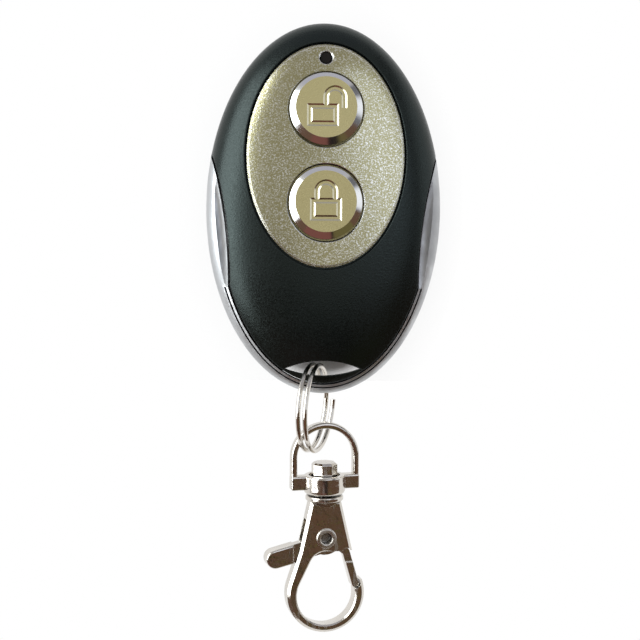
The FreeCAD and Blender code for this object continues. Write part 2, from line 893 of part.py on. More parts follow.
def biarc(start, start_tangent, end, end_tangent):
    """Two round edges that join two points and keep both tangents."""
    span = end.sub(start)
    both = start_tangent.add(end_tangent)
    spread = 2 * (1 - start_tangent.dot(end_tangent))
    along = span.dot(both)
    reach = (-along + math.sqrt(along ** 2 + spread * span.dot(span))) / spread
    joint = (start + end + (start_tangent - end_tangent) * reach) * 0.5
    first = arc_from_tangent(start, start_tangent, joint)
    second = arc_from_tangent(end, end_tangent * -1, joint)
    return [first, second]


def ring_point(angle):
    """Point and unit tangent of the ring's wire at an angle from its first end."""
    turn = math.radians(ring_start + angle)
    rise = ring_pitch * (angle / 360 - ring_turns / 2)
    out = ring_along * math.cos(turn) + ring_up * math.sin(turn)
    forward = ring_along * -math.sin(turn) + ring_up * math.cos(turn)
    point = ring_centre + out * ring_radius + ring_axis * rise
    tangent = forward * (2 * math.pi * ring_radius) + ring_axis * ring_pitch
    return point, tangent.normalize()


def split_ring():
    """Wire wound in nearly two open turns, its ends straight for one wire's width."""
    edges = []
    steps = 4 * ring_turns
    sweep = 360 * ring_turns - ring_open
    for index in range(steps):
        start, start_tangent = ring_point(index * sweep / steps)
        end, end_tangent = ring_point((index + 1) * sweep / steps)
        edges += biarc(start, start_tangent, end, end_tangent)
    first, first_tangent = ring_point(0)
    last, last_tangent = ring_point(sweep)
    edges.insert(0, line(first - first_tangent * ring_wire, first))
    edges.append(line(last, last + last_tangent * ring_wire))
    path = Part.Wire(Part.__sortEdges__(edges))
    start = first - first_tangent * ring_wire
    section = Part.Wire(Part.Circle(start, first_tangent, ring_wire / 2).toShape())
    tube = Part.BRepOffsetAPI.MakePipeShell(path)
    tube.add(section)
    tube.build()
    tube.makeSolid()
    print("split ring: gap between turns", round(ring_turn_gap(), 3), "mm")
    return tube.shape()


def ring_turn_gap():
    """Least gap between the ring's two turns, measured on points of its line."""
    end = 360 * ring_turns - round(ring_open)
    points = [ring_point(angle)[0] for angle in range(0, end, ring_check_step)]
    steps = len(points)
    apart = steps // ring_turns // 2
    gaps = [points[i].distanceToPoint(points[j]) for i in range(steps) for j in range(i + apart, steps)]
    return min(gaps) - ring_wire


def clasp_placement():
    """Place of the clasp: hung on the ring's far end, its hook's edge on the table."""
    ring_end = ring_centre - ring_along * ring_radius
    roll = math.radians(hook_roll)
    rest = math.radians(hook_rest_angle)
    below = hook_radius * math.cos(rest) * math.sin(roll) + hook_depth / 2 * math.cos(roll)
    reach = hook_radius * math.sin(rest) - hook_centre_y
    pitch = math.degrees(math.asin((ring_end.z - below) / reach))
    tilt = Rotation(Vector(1, 0, 0), pitch).multiply(Rotation(Vector(0, 1, 0), hook_roll))
    tilt = Rotation(Vector(0, 0, 1), clasp_yaw).multiply(tilt)
    return Placement(Vector(clasp_x, ring_end.y, ring_end.z), tilt)


def flat_plate(wire, depth):
    """Plate of a depth about the clasp's middle plane."""
    return prism(wire, -depth / 2, depth / 2)


def along_axis(radius, top, length):
    """Cylinder on the clasp's own axis, from a height down."""
    return Part.makeCylinder(radius, length, Vector(0, top, 0), Vector(0, -1, 0))


def flat_edges(shape, depth):
    """Edges that lie wholly in either face of a plate of a depth."""
    return [edge for edge in shape.Edges if abs(abs(edge.CenterOfMass.z) - depth / 2) < touch
            and edge.BoundBox.ZLength < touch]


def bow_outline(half, apex, foot):
    """D-shaped outline: half round on top of straight legs."""
    turn_y = apex - half
    return Part.Wire([
        line(Vector(-half, foot, 0), Vector(-half, turn_y, 0)),
        arc(Vector(-half, turn_y, 0), Vector(0, apex, 0), Vector(half, turn_y, 0)),
        line(Vector(half, turn_y, 0), Vector(half, foot, 0)),
        line(Vector(half, foot, 0), Vector(-half, foot, 0)),
    ])


def barrel_end():
    """Height on the clasp's axis where the bow's barrel ends."""
    return bow_base_top - barrel_height


def swivel_bow():
    """D-shaped bow on two wings, with a round barrel that has a well for the pin's head."""
    wing_low = bow_base_top - wing_height
    half = bow_inner_half_width + bow_width
    outer = flat_plate(bow_outline(half, bow_apex, wing_low + wing_height / 2), bow_depth)
    inner = flat_plate(bow_outline(bow_inner_half_width, bow_apex - bow_width, -far), 2 * bow_depth)
    bow = outer.cut(inner)
    bow = bow.makeFillet(bow_edge, flat_edges(bow, bow_depth))
    wings = box((-half, wing_low, -wing_depth / 2), (half, bow_base_top, wing_depth / 2))
    wings = wings.makeFillet(wing_edge, wings.Edges)
    barrel = along_axis(barrel_radius, bow_base_top, barrel_height)
    rims = sorted((barrel.Edges[0], barrel.Edges[2]), key=lambda edge: edge.CenterOfMass.y)
    barrel = barrel.makeFillet(barrel_round, rims[:1]).common(barrel.makeFillet(barrel_edge, rims[1:]))
    bow = bow.fuse(wings).fuse(barrel)
    bow = bow.cut(along_axis(well_radius, far, far - bow_base_top + well_depth).common(
        along_axis(well_radius, bow_base_top + wing_edge, wing_edge + well_depth)))
    return bow.cut(along_axis(pin_radius + pin_fit, bow_base_top, 2 * barrel_height)).removeSplitter()


def swivel_pin():
    """Pin with an eight-sided head in the barrel's well, riveted into the hook's neck."""
    low = bow_base_top - well_depth + swivel_gap
    angles = [math.radians(360 / pin_head_sides * (index + 0.5)) for index in range(pin_head_sides)]
    points = [Vector(pin_head_radius * math.cos(a), low, pin_head_radius * math.sin(a)) for a in angles]
    head = Part.Face(Part.makePolygon(points + points[:1])).extrude(Vector(0, pin_head_height, 0))
    top = low + pin_head_height
    rim = [edge for edge in head.Edges if abs(edge.CenterOfMass.y - top) < touch]
    head = head.makeChamfer(pin_head_edge, rim)
    foot = barrel_end() - swivel_gap - flange_height - neck_cone_height
    return head.fuse(along_axis(pin_radius, low + pin_root, low + pin_root - foot)).removeSplitter()


def tangent_points(outside, centre_y, radius):
    """Point where a line from a point on the right touches a circle on the axis."""
    across = Vector(outside.x, outside.y - centre_y, 0)
    reach = across.Length
    turn = math.acos(radius / reach)
    angle = math.atan2(across.y, across.x) - turn
    return Vector(radius * math.cos(angle), centre_y + radius * math.sin(angle), 0)


def mirror_point(point):
    """The same point on the left."""
    return Vector(-point.x, point.y, 0)


def hook_outline():
    """Outer outline of the hook: straight neck, straight shoulders and the round end."""
    neck = Vector(neck_half_width, barrel_end() - swivel_gap - flange_height, 0)
    knee = Vector(shoulder_half_width, shoulder_y, 0)
    side = tangent_points(knee, hook_centre_y, hook_radius)
    end = Vector(0, hook_centre_y - hook_radius, 0)
    return Part.Wire([
        line(neck, knee), line(knee, side), arc(side, end, mirror_point(side)),
        line(mirror_point(side), mirror_point(knee)), line(mirror_point(knee), mirror_point(neck)),
        line(mirror_point(neck), neck),
    ])


def opening_outline():
    """Tear-shaped opening of the hook: two circles and the lines that touch both."""
    low_radius = hook_radius - hook_stroke
    low_y = hook_centre_y - opening_drop
    top_y = opening_top_y - opening_top_radius
    turn = math.asin((low_radius - opening_top_radius) / (top_y - low_y))
    top = Vector(opening_top_radius * math.cos(turn), top_y + opening_top_radius * math.sin(turn), 0)
    low = Vector(low_radius * math.cos(turn), low_y + low_radius * math.sin(turn), 0)
    return Part.Wire([
        line(top, low), arc(low, Vector(0, low_y - low_radius, 0), mirror_point(low)),
        line(mirror_point(low), mirror_point(top)), arc(mirror_point(top), Vector(0, opening_top_y, 0), top),
    ])


def stroke_plate(start, end, radius, depth):
    """Flat bar with round ends between two points."""
    across = Vector(start.y - end.y, end.x - start.x, 0).normalize() * radius
    along = Vector(end.x - start.x, end.y - start.y, 0).normalize() * radius
    outline = Part.Wire([
        line(start + across, end + across), arc(end + across, end + along, end - across),
        line(end - across, start - across), arc(start - across, start - along, start + across),
    ])
    return flat_plate(outline, depth)


def gate_bar(grow, depth):
    """Straight gate bar from the cheeks down to the nose."""
    start = Vector(gate_root_x, gate_root_y, 0)
    return stroke_plate(start, Vector(gate_tip_x, gate_tip_y, 0), gate_bar_width / 2 + grow, depth)


def hook_body():
    """Cast hook: flange, neck, cheeks with the gate's slot, opening and open nose."""
    body = flat_plate(hook_outline(), hook_depth)
    body = body.makeChamfer(hook_edge, flat_edges(body, hook_depth))
    opening = flat_plate(opening_outline(), hook_depth)
    body = body.cut(opening)
    rims = [edge for edge in flat_edges(body, hook_depth) if edge.distToShape(opening)[0] < touch]
    body = body.makeChamfer(hook_inner_edge, rims)
    top = barrel_end() - swivel_gap
    flange = along_axis(flange_width / 2, top, flange_height)
    flange = flange.makeFillet(flange_round, [flange.Edges[0], flange.Edges[2]])
    cone_top = Vector(0, top - flange_height, 0)
    cone_radius = flange_width / 2 - flange_round
    cone = Part.makeCone(cone_radius, pin_radius + neck_wall, neck_cone_height, cone_top, Vector(0, -1, 0))
    body = body.fuse(flange).fuse(cone)
    body = body.cut(box((0, nose_y, -hook_depth), (far, shoulder_y, hook_depth)))
    body = body.cut(box((-far, gate_slot_end, -gate_slot / 2), (far, gate_slot_top, gate_slot / 2)))
    for step in range(gate_sweep_steps):
        sweep = gate_bar(gate_clearance, hook_depth * 2)
        sweep.rotate(Vector(0, rivet_y, 0), Vector(0, 0, -1), step * gate_sweep_angle)
        body = body.cut(sweep)
    body = body.cut(along_axis(pin_radius, top, flange_height + neck_cone_height))
    body = body.cut(Part.makeCylinder(rivet_radius, 2 * hook_depth, Vector(0, rivet_y, -hook_depth)))
    return max(body.Solids, key=lambda solid: solid.Volume)


def gate_lever():
    """Thumb lever, hub and gate bar in one flat piece with a pocket for the spring."""
    pivot = Vector(0, rivet_y, 0)
    hub = Part.makeCylinder(hub_radius, gate_thickness, Vector(0, rivet_y, -gate_thickness / 2))
    thumb_end = Vector(thumb_x, thumb_y, 0)
    thumb_root = Vector(-hub_radius / 2, rivet_y - hub_radius / 2, 0)
    arm = stroke_plate(thumb_root, thumb_end, arm_radius, gate_thickness)
    pad = stroke_plate(thumb_root, thumb_end, thumb_radius, thumb_thickness)
    pad = pad.common(box((-far, -far, -far), (thumb_start_x, far, far)))
    pad = pad.makeFillet(thumb_edge, flat_edges(pad, thumb_thickness))
    start = Vector(gate_root_x, gate_root_y, 0)
    link = stroke_plate(pivot, start, gate_bar_width / 2, gate_thickness)
    bar = gate_bar(0, gate_bar_thickness)
    bar = bar.makeFillet(gate_clearance, flat_edges(bar, gate_bar_thickness))
    bar = bar.common(box((-far, -far, -far), (far, gate_bar_start_y, far)))
    lever = hub.fuse(arm).fuse(pad).fuse(link).fuse(gate_bar(0, gate_thickness)).fuse(bar)
    bore = Part.makeCylinder(rivet_radius + gate_fit, far, Vector(0, rivet_y, -far / 2))
    pocket = Part.makeCylinder(spring_pocket_radius, hook_depth, Vector(0, rivet_y, spring_pocket_floor))
    return lever.cut(bore).cut(pocket).removeSplitter()


def gate_rivet():
    """Rivet with a rolled flange on each cheek, hollow from both ends."""
    length = hook_depth + 2 * rivet_flange_height
    base = Vector(0, rivet_y, -length / 2)
    rivet = Part.makeCylinder(rivet_radius, length, base)
    for low in (-length / 2, length / 2 - rivet_flange_height):
        spot = Vector(0, rivet_y, low)
        rivet = rivet.fuse(Part.makeCylinder(rivet_flange_radius, rivet_flange_height, spot))
    rims = [edge for edge in flat_edges(rivet, length) if edge.Length > 2 * math.pi * rivet_radius]
    rivet = rivet.makeFillet(rivet_rim_round, rims)
    bore = Part.makeCylinder(rivet_bore, length, base)
    bore = bore.cut(box((-far, -far, -rivet_web / 2), (far, far, rivet_web / 2)))
    rivet = rivet.cut(bore)
    mouths = [edge for edge in flat_edges(rivet, length) if edge.distToShape(bore)[0] < touch]
    return rivet.makeFillet(rivet_mouth_round, mouths)


def gate_spring():
    """Hairpin spring round the rivet: one open loop with two straight legs."""
    height = spring_pocket_floor + spring_lift + spring_wire / 2
    half = math.radians(spring_sweep / 2)
    spots = []
    for angle in (-half, 0, half):
        turn = math.pi / 2 + angle
        spots.append(Vector(spring_radius * math.cos(turn), rivet_y + spring_radius * math.sin(turn), height))
    ends = []
    for spot, sign in ((spots[0], -1), (spots[2], 1)):
        out = Vector(spot.x, spot.y - rivet_y, 0).normalize()
        ends.append(Vector(-out.y, out.x, 0) * sign)
    start = spots[0] + ends[0] * spring_leg
    finish = spots[2] + ends[1] * spring_leg
    edges = [line(start, spots[0]), arc(spots[0], spots[1], spots[2]), line(spots[2], finish)]
    section = Part.Wire(Part.Circle(start, ends[0], spring_wire / 2).toShape())
    return Part.Wire(edges).makePipeShell([section], True, True)


def clasp_pieces():
    """Pieces of the clasp, set in place on the split ring."""
    place = clasp_placement()
    pieces = {
        "swivel_bow": swivel_bow(),
        "swivel_pin": swivel_pin(),
        "hook_body": hook_body(),
        "gate_lever": gate_lever(),
        "gate_rivet": gate_rivet(),
        "gate_spring": gate_spring(),
    }
    return {name: placed(shape, place) for name, shape in pieces.items()}


def all_pieces():
    """Every piece of the remote by its name."""
    open_icon = padlock_icon(icon_open_shift, icon_open_shackle_x, icon_open_leg)
    closed_icon = padlock_icon(0.0, 0.0, icon_body_top - icon_stroke / 2)
    pieces = {
        "front_shell": front_shell(),
        "rear_shell": rear_shell(),
        "trim_band": trim_band(),
        "faceplate": faceplate(),
        "button_unlock": button(unlock_y, open_icon),
        "button_lock": button(lock_y, closed_icon),
        "light_pipe": lamp_light_pipe(),
        "status_led": status_led(),
        "circuit_board": circuit_board(),
        "switch_body_unlock": switch_body(unlock_y),
        "switch_body_lock": switch_body(lock_y),
        "switch_plunger_unlock": switch_plunger(unlock_y),
        "switch_plunger_lock": switch_plunger(lock_y),
        "encoder_chip": encoder_chip(),
        "saw_resonator": saw_resonator(),
        "rf_transistor": rf_transistor(),
        "chip_capacitors": passives(-passive_x, passive_count),
        "chip_resistors": passives(passive_x, passive_count),
        "antenna_trace": antenna_trace(),
        "battery": battery(),
        "contact_positive": battery_contact(1),
        "contact_negative": battery_contact(-1),
        "battery_pad": battery_pad(),
        "case_screws": case_screws(),
        "split_ring": split_ring(),
    }
    pieces.update(clasp_pieces())
    return pieces


def main():
    """Write one STEP file for each piece."""
    os.makedirs("parts", exist_ok=True)
    for name, shape in all_pieces().items():
        shape.exportStep("parts/" + name + ".step")


main()
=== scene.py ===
"""Looks of an oval key-ring remote: case, faceplate, buttons, silver band, split ring and clasp."""

import json
import math

import bpy
from mathutils import Matrix, Vector


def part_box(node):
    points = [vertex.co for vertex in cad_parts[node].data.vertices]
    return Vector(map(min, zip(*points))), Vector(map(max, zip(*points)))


bl_info = {
    "name": "Key-ring remote",
    "version": (1, 0, 0),
    "blender": (4, 5, 0),
    "location": "View3D > Sidebar > Remote",
    "description": "Dresses the packed frame of an oval two-button remote with its ring and clasp",
    "category": "Object",
}

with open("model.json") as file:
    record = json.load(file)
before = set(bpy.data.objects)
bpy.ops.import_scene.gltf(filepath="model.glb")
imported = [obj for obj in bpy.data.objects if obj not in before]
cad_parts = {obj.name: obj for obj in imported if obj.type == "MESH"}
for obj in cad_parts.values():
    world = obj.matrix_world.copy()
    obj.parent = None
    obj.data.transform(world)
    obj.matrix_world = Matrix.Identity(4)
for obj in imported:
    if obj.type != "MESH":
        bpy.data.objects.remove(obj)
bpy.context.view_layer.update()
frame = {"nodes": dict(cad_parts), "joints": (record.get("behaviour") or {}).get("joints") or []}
NODES = frame["nodes"]

MM = 0.001
UNIT = (0.0, 1.0)
WHITE = (1.0, 1.0, 1.0, 1.0)

# Rays that look for an edge or a recess
BEVEL_SAMPLES = 4
RECESS_SAMPLES = 6


# Helpers for nodes and node groups

def toned(color, factor, lift=0.0):
    """A colour times a factor plus a lift, held at 1."""
    return [min(1.0, c * factor + lift) for c in color[:3]]


def new_material(name, color):
    """A material with a Principled shader, its output and nothing else."""
    made = bpy.data.materials.new(name)
    made.use_nodes = True
    made.node_tree.nodes.clear()
    made.diffuse_color = (*color[:3], 1.0)
    shader = made.node_tree.nodes.new("ShaderNodeBsdfPrincipled")
    shader.inputs["Base Color"].default_value = (*color[:3], 1.0)
    output = made.node_tree.nodes.new("ShaderNodeOutputMaterial")
    made.node_tree.links.new(shader.outputs["BSDF"], output.inputs["Surface"])
    return made, shader


def add_node(tree, kind, settings=None, values=None, links=None):
    """Adds a node, sets its properties and socket values and links its inputs."""
    node = tree.nodes.new(kind)
    for key, value in (settings or {}).items():
        setattr(node, key, value)
    for key, value in (values or {}).items():
        node.inputs[key].default_value = value
    for key, socket in (links or {}).items():
        tree.links.new(socket, node.inputs[key])
    return node


def maths(tree, operation, first, second, clamp=False):
    """A Math node; each of its inputs is a socket or a number."""
    node = add_node(tree, "ShaderNodeMath", {"operation": operation, "use_clamp": clamp})
    for index, value in enumerate((first, second)):
        if isinstance(value, bpy.types.NodeSocket):
            tree.links.new(value, node.inputs[index])
        else:
            node.inputs[index].default_value = value
    return node.outputs[0]


def mapped(tree, value, source, target=UNIT, smooth=False):
    """A socket's value, taken from one range to another and clamped."""
    curve = "SMOOTHSTEP" if smooth else "LINEAR"
    node = add_node(tree, "ShaderNodeMapRange", {"clamp": True, "interpolation_type": curve}, {
        "From Min": source[0], "From Max": source[1], "To Min": target[0], "To Max": target[1],
    }, {"Value": value})
    return node.outputs[0]


def mixed(tree, factor, first, second):
    """A colour Mix node; the factor is a socket, and each colour is a socket or a value."""
    node = add_node(tree, "ShaderNodeMix", {"data_type": "RGBA"}, None, {0: factor})
    for socket, value in ((node.inputs[6], first), (node.inputs[7], second)):
        if isinstance(value, bpy.types.NodeSocket):
            tree.links.new(value, socket)
        else:
            socket.default_value = (*value[:3], 1.0)
    return node.outputs[2]


def noise(tree, place, scale, detail, roughness):
    """A Noise Texture node's value; place and scale are sockets."""
    values = {"Detail": detail, "Roughness": roughness}
    node = add_node(tree, "ShaderNodeTexNoise", None, values, {"Vector": place, "Scale": scale})
    return node.outputs["Fac"]


def along(tree, axis, way):
    """How far a socket's direction points along an axis, as a cosine."""
    node = add_node(tree, "ShaderNodeVectorMath", {"operation": "DOT_PRODUCT"}, {1: axis}, {0: way})
    return node.outputs["Value"]


def blended(tree, share, first, second):
    """Two shaders, blended by a socket's value."""
    node = add_node(tree, "ShaderNodeMixShader", None, None, {0: share, 1: first, 2: second})
    return node.outputs[0]


def bump(tree, height, normal, strength, depth_mm):
    """A normal with the relief of a height on it."""
    values = {"Strength": strength, "Distance": depth_mm * MM}
    node = add_node(tree, "ShaderNodeBump", None, values, {"Height": height, "Normal": normal})
    return node.outputs["Normal"]


def rounded(tree, radius_mm):
    """A normal that is softened along sharp edges."""
    node = add_node(tree, "ShaderNodeBevel", {"samples": BEVEL_SAMPLES},
                    {"Radius": radius_mm * MM})
    return node.outputs["Normal"]


def new_group(name, inputs, outputs):
    """An empty node group; inputs are floats with their defaults, outputs are floats."""
    group = bpy.data.node_groups.new(name, "ShaderNodeTree")
    for label, default in inputs.items():
        socket = group.interface.new_socket(label, in_out="INPUT", socket_type="NodeSocketFloat")
        socket.default_value = default
    for label in outputs:
        group.interface.new_socket(label, in_out="OUTPUT", socket_type="NodeSocketFloat")
    entry = group.nodes.new("NodeGroupInput")
    leave = group.nodes.new("NodeGroupOutput")
    return group, entry.outputs, leave.inputs


def use_group(tree, name, values):
    """Places one of the shared groups in a material."""
    node = add_node(tree, "ShaderNodeGroup", {"node_tree": bpy.data.node_groups[name]}, values)
    return node.outputs


# Shared effects: the values at which each mask starts and is full
SHADE_LEVELS = (0.3, 0.7)
PATCH_LEVELS = (0.35, 0.65)
SCRATCH_LEVELS = (0.66, 0.72)
# The edge mask paints highlights along edges, and the recess mask paints shade in recesses
EDGE_COSINES = (0.99, 0.9)
RECESS_LIGHT = (0.55, 0.1)

# How sharply the speckles stand out, the two turns of the scratches in radians, and how far the
# noise is stretched along them
SPECKLE_GAIN = 9.0
SCRATCH_TURNS = (0.4, 1.9)
SCRATCH_STRETCH = 0.04


def build_grain_group():
    """Fine grain from two sizes of noise, in millimetres: its height, speckles and shade."""
    group, given, result = new_group("fine_grain", {
        "Grain Size": 0.25, "Second Size": 0.08, "Second Share": 0.3, "Speckle Level": 0.55,
    }, ("Height", "Speckle", "Shade"))
    place = add_node(group, "ShaderNodeTexCoord").outputs["Object"]
    coarse_scale = maths(group, "DIVIDE", 1.0 / MM, given["Grain Size"])
    fine_scale = maths(group, "DIVIDE", 1.0 / MM, given["Second Size"])
    coarse = noise(group, place, coarse_scale, detail=2.0, roughness=0.55)
    fine = noise(group, place, fine_scale, detail=1.0, roughness=0.5)
    both = maths(group, "ADD", coarse, maths(group, "MULTIPLY", fine, given["Second Share"]))
    level = maths(group, "DIVIDE", both, maths(group, "ADD", given["Second Share"], 1.0))
    over = maths(group, "SUBTRACT", level, given["Speckle Level"])
    speckle = maths(group, "MULTIPLY", over, SPECKLE_GAIN, clamp=True)
    group.links.new(level, result["Height"])
    group.links.new(speckle, result["Speckle"])
    group.links.new(mapped(group, level, SHADE_LEVELS), result["Shade"])


def build_marks_and_light_group():
    """Handling wear and painted light: soft patches, hairline scratches, an edge mask for painted
    highlights, and how deep a recess lies, for painted shade.
    """
    group, given, result = new_group("handling_marks_and_light", {
        "Patch Size": 8.0, "Scratch Size": 1.2, "Edge Width": 0.15, "Recess Reach": 0.7,
    }, ("Patches", "Scratches", "Edges", "Recess"))
    place = add_node(group, "ShaderNodeTexCoord").outputs["Object"]
    patch_scale = maths(group, "DIVIDE", 1.0 / MM, given["Patch Size"])
    patches = noise(group, place, patch_scale, detail=4.0, roughness=0.6)
    group.links.new(mapped(group, patches, PATCH_LEVELS, smooth=True), result["Patches"])

    scratch_scale = maths(group, "DIVIDE", 1.0 / MM, given["Scratch Size"])
    lines = []
    for turn in SCRATCH_TURNS:
        turned = add_node(group, "ShaderNodeMapping", None, {
            "Rotation": (0.2, 0.3, turn), "Scale": (1.0, SCRATCH_STRETCH, 1.0),
        }, {"Vector": place})
        drawn = noise(group, turned.outputs[0], scratch_scale, detail=1.0, roughness=0.4)
        lines.append(mapped(group, drawn, SCRATCH_LEVELS))
    group.links.new(maths(group, "MAXIMUM", *lines), result["Scratches"])

    # Edges: a mask along sharp edges, which the materials use to paint highlights there
    edge_radius = maths(group, "MULTIPLY", given["Edge Width"], MM)
    bevel = add_node(group, "ShaderNodeBevel", {"samples": BEVEL_SAMPLES}, None,
                     {"Radius": edge_radius})
    flat = add_node(group, "ShaderNodeNewGeometry").outputs["Normal"]
    match = add_node(group, "ShaderNodeVectorMath", {"operation": "DOT_PRODUCT"}, None,
                     {0: bevel.outputs["Normal"], 1: flat})
    group.links.new(mapped(group, match.outputs["Value"], EDGE_COSINES), result["Edges"])

    # Recess: ambient occlusion, which the materials use to paint shade into recesses and gaps
    reach = maths(group, "MULTIPLY", given["Recess Reach"], MM)
    light = add_node(group, "ShaderNodeAmbientOcclusion", {"samples": RECESS_SAMPLES}, None,
                     {"Distance": reach}).outputs["AO"]
    group.links.new(mapped(group, light, RECESS_LIGHT, smooth=True), result["Recess"])


def build_groups():
    """Builds every shared group once."""
    build_grain_group()
    build_marks_and_light_group()


# Black plastic: strength and tint of its gloss, and how much of its painted edge highlight shows
PLASTIC_GLOSS = 0.43
PLASTIC_TINT = (0.82, 1.0, 0.96, 1.0)
PLASTIC_EDGE_HIGHLIGHT = 0.35

# Plating: width of its slow ripples, their depth and the depth of its scratches
RIPPLE_MM = 1.6
RIPPLE_DEPTH_MM = 0.12 * RIPPLE_MM
SCRATCH_DEPTH_MM = 0.01

# Satin faces: how cloudy they are, their polished edges, the share of that polish and the edge of
# the sphere in an engraving, the cosines at which a wall starts and is full, and the black painted
# on walls and gaps as shade
SATIN_CLOUD = 0.25
POLISHED_ROUGHNESS = 0.1
ENGRAVED_POLISH = 0.35
ENGRAVED_FADE = 1.03
WALL_COSINES = (0.4, 0.25)
WALL_SHADE_BLACK = (0.012, 0.012, 0.012)


def textured_plastic(name, color, grain_mm, roughness):
    """Moulded plastic with a spark-eroded texture, lighter and smoother on its crests, with a
    painted highlight along its edges.
    """
    made, shader = new_material(name, color)
    shader.inputs["Specular IOR Level"].default_value = PLASTIC_GLOSS
    shader.inputs["Specular Tint"].default_value = PLASTIC_TINT
    tree = made.node_tree
    grain = use_group(tree, "fine_grain", {
        "Grain Size": grain_mm, "Second Size": grain_mm * 0.5, "Second Share": 0.5,
    })
    marks_and_light = use_group(tree, "handling_marks_and_light", {"Patch Size": 9.0, "Edge Width": 0.25})
    crest = toned(color, 1.35, lift=0.001)
    # A lighter tone along the edges: painted edge highlight
    edge_highlight_tone = toned(color, 1.8, lift=0.01)
    tone = mixed(tree, grain["Shade"], color, crest)
    edges_and_highlight = maths(tree, "MULTIPLY", marks_and_light["Edges"], PLASTIC_EDGE_HIGHLIGHT)
    tree.links.new(mixed(tree, edges_and_highlight, tone, edge_highlight_tone), shader.inputs["Base Color"])
    hollow_rough, crest_rough = roughness + 0.12, roughness - 0.1
    rough = mapped(tree, grain["Shade"], UNIT, (hollow_rough, crest_rough))
    rubbed_and_edge_highlight = maths(tree, "MULTIPLY", marks_and_light["Patches"], -0.04)
    tree.links.new(maths(tree, "ADD", rough, rubbed_and_edge_highlight), shader.inputs["Roughness"])
    relief = bump(tree, grain["Height"], rounded(tree, 0.35), strength=0.5, depth_mm=0.05)
    tree.links.new(relief, shader.inputs["Normal"])
    return made


def plated_metal(name, color, roughness, scratch=0.12, patch_mm=5.0, round_mm=0.08, shade_reach_mm=0.7):
    """Bright plating: cloudy roughness, hairline scratches, softened edges with a painted
    highlight, and recesses painted dark as shade.
    """
    made, shader = new_material(name, color)
    tree = made.node_tree
    shader.inputs["Metallic"].default_value = 1.0
    marks_and_light = use_group(tree, "handling_marks_and_light", {
        "Patch Size": patch_mm, "Scratch Size": 0.9, "Edge Width": 0.12, "Recess Reach": shade_reach_mm,
    })
    # Edges a little lighter, a painted highlight, and recesses near black, painted shade
    dull, rubbed_and_edge_highlight, recess_shade_tone = toned(color, 0.9), toned(color, 1.08), toned(color, 0.1)
    cloud = mixed(tree, marks_and_light["Patches"], dull, color)
    bright = mixed(tree, marks_and_light["Edges"], cloud, rubbed_and_edge_highlight)
    tree.links.new(mixed(tree, marks_and_light["Recess"], bright, recess_shade_tone), shader.inputs["Base Color"])
    dull_rough, clear_rough = roughness * 1.4, roughness * 0.8
    base = mapped(tree, marks_and_light["Patches"], UNIT, (dull_rough, clear_rough))
    lines = maths(tree, "MULTIPLY", marks_and_light["Scratches"], scratch)
    tree.links.new(maths(tree, "ADD", base, lines), shader.inputs["Roughness"])
    ripple = use_group(tree, "fine_grain", {
        "Grain Size": RIPPLE_MM, "Second Size": RIPPLE_MM * 0.3, "Second Share": 0.2,
    })
    uneven = bump(tree, ripple["Height"], rounded(tree, round_mm), 0.35, RIPPLE_DEPTH_MM)
    scratched = bump(tree, marks_and_light["Scratches"], uneven, 0.15, SCRATCH_DEPTH_MM)
    tree.links.new(scratched, shader.inputs["Normal"])
    return made


def plain_moulding(name, color, roughness, grain_mm=0.15):
    """Small inner piece with a light grain and softened edges."""
    made, shader = new_material(name, color)
    tree = made.node_tree
    grain = use_group(tree, "fine_grain", {"Grain Size": grain_mm, "Second Size": grain_mm * 0.5})
    tone = mixed(tree, grain["Shade"], toned(color, 0.8), color)
    tree.links.new(tone, shader.inputs["Base Color"])
    rough = mapped(tree, grain["Shade"], UNIT, (roughness + 0.08, roughness))
    tree.links.new(rough, shader.inputs["Roughness"])
    relief = bump(tree, grain["Height"], rounded(tree, 0.06), strength=0.15, depth_mm=0.02)
    tree.links.new(relief, shader.inputs["Normal"])
    return made


def lamp_window(name, color):
    """Dark clear plastic with a faint cloud in it."""
    made, shader = new_material(name, color)
    shader.inputs["Specular IOR Level"].default_value = 0.25
    tree = made.node_tree
    grain = use_group(tree, "fine_grain", {"Grain Size": 0.5, "Second Size": 0.2})
    tone = mixed(tree, grain["Shade"], color, toned(color, 1.6))
    tree.links.new(tone, shader.inputs["Base Color"])
    rough = mapped(tree, grain["Shade"], UNIT, (0.16, 0.1))
    tree.links.new(rough, shader.inputs["Roughness"])
    return made


def axis_mask(tree, axis, cosines):
    """1 where the surface faces along an axis and 0 where it turns away, by its true normal."""
    normal = add_node(tree, "ShaderNodeTexCoord").outputs["Normal"]
    return mapped(tree, along(tree, axis, normal), cosines)


